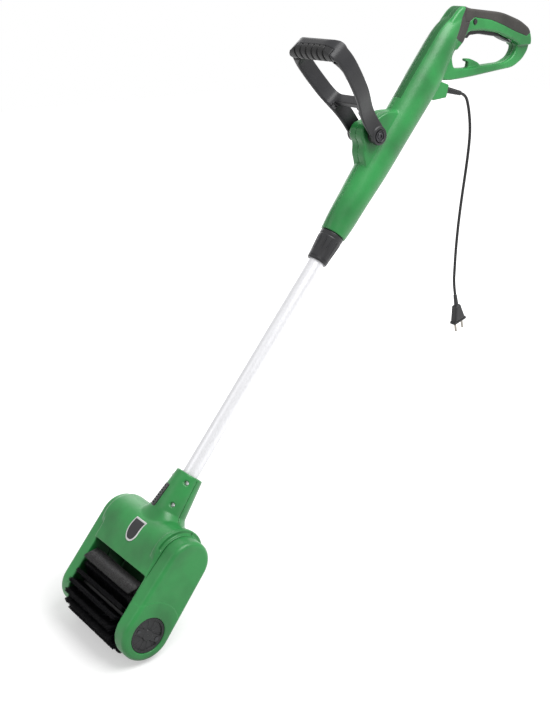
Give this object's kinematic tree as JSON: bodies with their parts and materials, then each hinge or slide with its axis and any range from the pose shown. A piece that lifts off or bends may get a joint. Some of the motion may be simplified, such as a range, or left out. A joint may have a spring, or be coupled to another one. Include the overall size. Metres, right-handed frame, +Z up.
{
  "type": "electric patio cleaner",
  "caption": "Corded patio and joint cleaner: a belt driven roller brush on a telescopic tube with a rear trigger handle and a tilting front handle.",
  "frame": {"origin": "middle of the rear grip", "axes": "+Z up, +Y back towards the user, +X to the belt cover's side"},
  "size_m": [0.215, 1.0103, 0.9766],
  "materials": {
    "green_shell": "satin",
    "black_plastic": "matte",
    "natural_nylon": "satin",
    "soft_grip": "matte",
    "black_cable": "satin",
    "belt_rubber": "matte",
    "tube_aluminium": "satin",
    "plug_metal": "satin",
    "steel": "satin",
    "copper": "satin",
    "carbon": "matte",
    "capacitor_case": "satin",
    "bristle": "satin"
  },
  "bodies": {
    "root": {"housing_left_shell": "green_shell", "housing_right_shell": "green_shell", "grip_overlay": "soft_grip", "housing_screws": "steel", "trigger_pin": "steel", "trigger_spring": "steel", "lock_spring": "steel", "trigger_switch": "black_plastic", "capacitor": "capacitor_case", "supply_lead": "black_cable", "cord_gland": "soft_grip", "power_cord": "black_cable", "plug_body": "black_plastic", "plug_pins": "plug_metal", "detent_discs": "black_plastic", "tube_collet": "natural_nylon", "guide_bush": "natural_nylon"},
    "collar": {"lock_collar": "black_plastic"},
    "front_handle": {"front_handle": "black_plastic", "front_grip_insert": "soft_grip", "pivot_bolt": "steel", "pivot_nut": "steel"},
    "trigger": {"trigger": "black_plastic"},
    "lock_button": {"lock_button": "black_plastic"},
    "head": {"aluminium_tube": "tube_aluminium", "tube_end_plug": "black_plastic", "tube_pins": "steel", "inner_lead": "black_cable", "head_front_shell": "green_shell", "head_rear_shell": "green_shell", "neck_vent": "black_plastic", "neck_screws": "steel", "head_screws": "steel", "belt_cover": "green_shell", "belt_cover_screws": "steel", "axle_cap": "black_plastic", "axle_cap_screws": "steel", "stator": "steel", "field_coils": "copper", "motor_bearing_belt_side": "steel", "motor_bearing_plain_side": "steel", "brush_holders": "black_plastic", "carbon_brushes": "carbon", "drive_belt": "belt_rubber", "spindle_bearing_belt_side": "steel", "spindle_bearing_plain_side": "steel"},
    "motor": {"motor_shaft": "steel", "armature_core": "steel", "winding_belt_side": "copper", "winding_plain_side": "copper", "commutator": "black_plastic", "cooling_fan": "black_plastic", "drive_pulley": "black_plastic"},
    "brush": {"brush_spindle": "steel", "driven_pulley": "black_plastic", "brush_core": "black_plastic", "bristle_rows": "bristle"}
  },
  "joints": [
    {"name": "tube_slide", "type": "slide", "parent": "root", "child": "head", "axis": [0, 0.6494, 0.7604], "range_m": [0, 0.18]},
    {"name": "brush_spin", "type": "hinge", "parent": "head", "child": "brush", "pos_m": [0, -0.86823, -0.89246], "axis": [1, 0, 0], "continuous": true},
    {"name": "motor_spin", "type": "hinge", "parent": "head", "child": "motor", "pos_m": [0, -0.78705, -0.79741], "axis": [1, 0, 0], "continuous": true},
    {"name": "collar_turn", "type": "hinge", "parent": "root", "child": "collar", "pos_m": [0, -0.41361, -0.36018], "axis": [0, 0.6494, 0.7604], "range_deg": [0, 60]},
    {"name": "front_handle_tilt", "type": "hinge", "parent": "root", "child": "front_handle", "pos_m": [0, -0.31991, -0.17193], "axis": [1, 0, 0], "range_deg": [-50, 40]},
    {"name": "trigger_pull", "type": "hinge", "parent": "root", "child": "trigger", "pos_m": [0, 0.026, -0.011], "axis": [-1, 0, 0], "range_deg": [0, 2.4], "stiffness_Nm_per_rad": 1.5},
    {"name": "lock_push", "type": "slide", "parent": "root", "child": "lock_button", "axis": [-1, 0, 0], "range_m": [0, 0.003], "stiffness_N_per_m": 300}
  ],
  "couplings": [
    {"joint": "motor_spin", "follows": "brush_spin", "ratio": 3.323}
  ]
}
